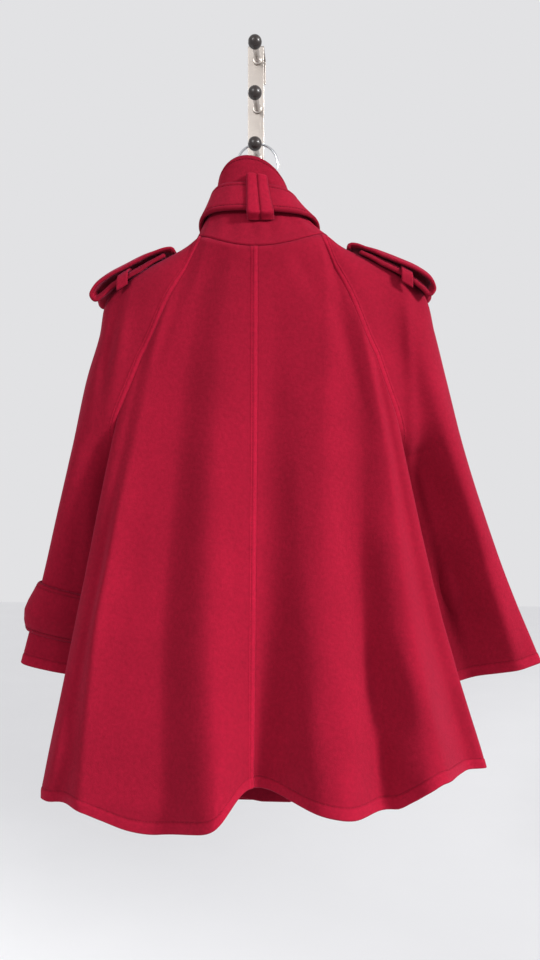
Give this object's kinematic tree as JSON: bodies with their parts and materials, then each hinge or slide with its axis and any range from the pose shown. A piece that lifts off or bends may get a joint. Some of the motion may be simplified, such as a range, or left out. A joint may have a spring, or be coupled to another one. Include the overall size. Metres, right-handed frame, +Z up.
{
  "type": "wool cape coat on a hanger and hook rack",
  "caption": "Flared wool cape coat with raglan sleeves, epaulettes, funnel collar and throat belt, hung on a hanger from a bent hook rack.",
  "frame": {"origin": "middle of the underside of the rack's bridge, where the rack is hung", "axes": "+X to the right of someone who looks at the coat's back, +Y from the coat towards the rack's rear leg, +Z up"},
  "size_m": [0.6665, 0.245, 1.008],
  "materials": {
    "wool_melton": "fulled wool melton with a short soft nap",
    "button_horn": "semi-matt moulded",
    "beech": "clear satin lacquer",
    "hook_wire": "bright plated wire",
    "satin_nickel": "satin nickel plate",
    "dark_wood": "semi-gloss lacquer"
  },
  "bodies": {
    "root": {"back_left": "wool_melton", "back_right": "wool_melton", "front_left": "wool_melton", "front_right": "wool_melton", "sleeve_left": "wool_melton", "sleeve_right": "wool_melton", "collar": "wool_melton", "throat_belt": "wool_melton", "keeper_left": "wool_melton", "keeper_right": "wool_melton", "epaulette_left": "wool_melton", "epaulette_right": "wool_melton", "carrier_left": "wool_melton", "carrier_right": "wool_melton", "cuff_strap_left": "wool_melton", "button_1": "button_horn", "button_2": "button_horn", "button_3": "button_horn", "button_4": "button_horn", "belt_button": "button_horn", "hanger_arms": "beech", "hanger_hook": "hook_wire", "rack_strap": "satin_nickel", "peg_1": "satin_nickel", "peg_2": "satin_nickel", "peg_3": "satin_nickel", "knob_1": "dark_wood", "knob_2": "dark_wood", "knob_3": "dark_wood"}
  },
  "joints": []
}
